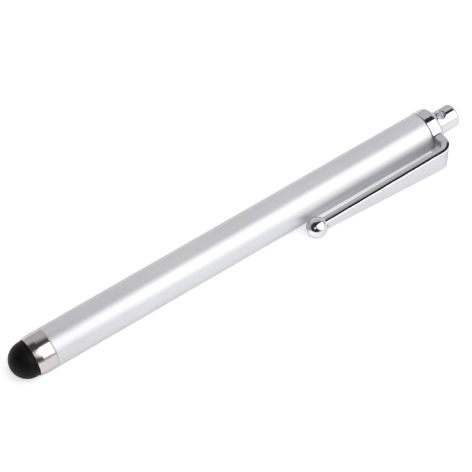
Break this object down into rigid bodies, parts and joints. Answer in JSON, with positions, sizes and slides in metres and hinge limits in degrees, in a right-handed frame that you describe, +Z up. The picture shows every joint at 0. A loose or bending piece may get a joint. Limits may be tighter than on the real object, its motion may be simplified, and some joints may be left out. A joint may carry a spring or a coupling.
{
  "type": "stylus pen",
  "caption": "Touch-screen stylus pen: satin aluminium tube, chromed nose with a soft rubber nib that gives way, turning spring clip with a ball end, and a drilled lanyard stud",
  "frame": {"origin": "on the surface that the pen lies on, under the middle of its bounding box", "axes": "+X runs along the pen from the nib to the lanyard stud, +Z is up from the surface, and the clip lies on the -Y side"},
  "size_m": [0.101, 0.0126, 0.008],
  "materials": {
    "satin_aluminium": "fine blasted and clear anodised, satin",
    "chrome_ferrule": "polished bright chrome on brass",
    "black_rubber": "matt moulded conductive silicone",
    "brass": "turned, bare",
    "chrome_clip": "die-cast, tumbled and chromed",
    "chrome_stud": "turned brass, bright chrome"
  },
  "bodies": {
    "pen_body": {"barrel": "satin_aluminium", "nose_ferrule": "chrome_ferrule", "rear_bush": "brass", "lanyard_stud": "chrome_stud"},
    "nib_body": {"nib": "black_rubber", "nib_peg": "brass"},
    "clip_root": {"clip_head": "chrome_clip"},
    "clip_spring": {"clip_arm": "chrome_clip"}
  },
  "joints": [
    {"name": "clip_swivel", "type": "hinge", "parent": "pen_body", "child": "clip_root", "pos_m": [0.04442, 0.00234, 0.004], "axis": [1, 0, 0], "continuous": true},
    {"name": "clip_flex", "type": "hinge", "parent": "clip_root", "child": "clip_spring", "pos_m": [0.04442, -0.00332, 0.00328], "axis": [0, -0.1264, 0.992], "range_deg": [0, 5], "stiffness_Nm_per_rad": 1.2},
    {"name": "nib_press", "type": "slide", "parent": "pen_body", "child": "nib_body", "axis": [1, 0, 0], "range_m": [0, 0.0006], "stiffness_N_per_m": 2500}
  ]
}
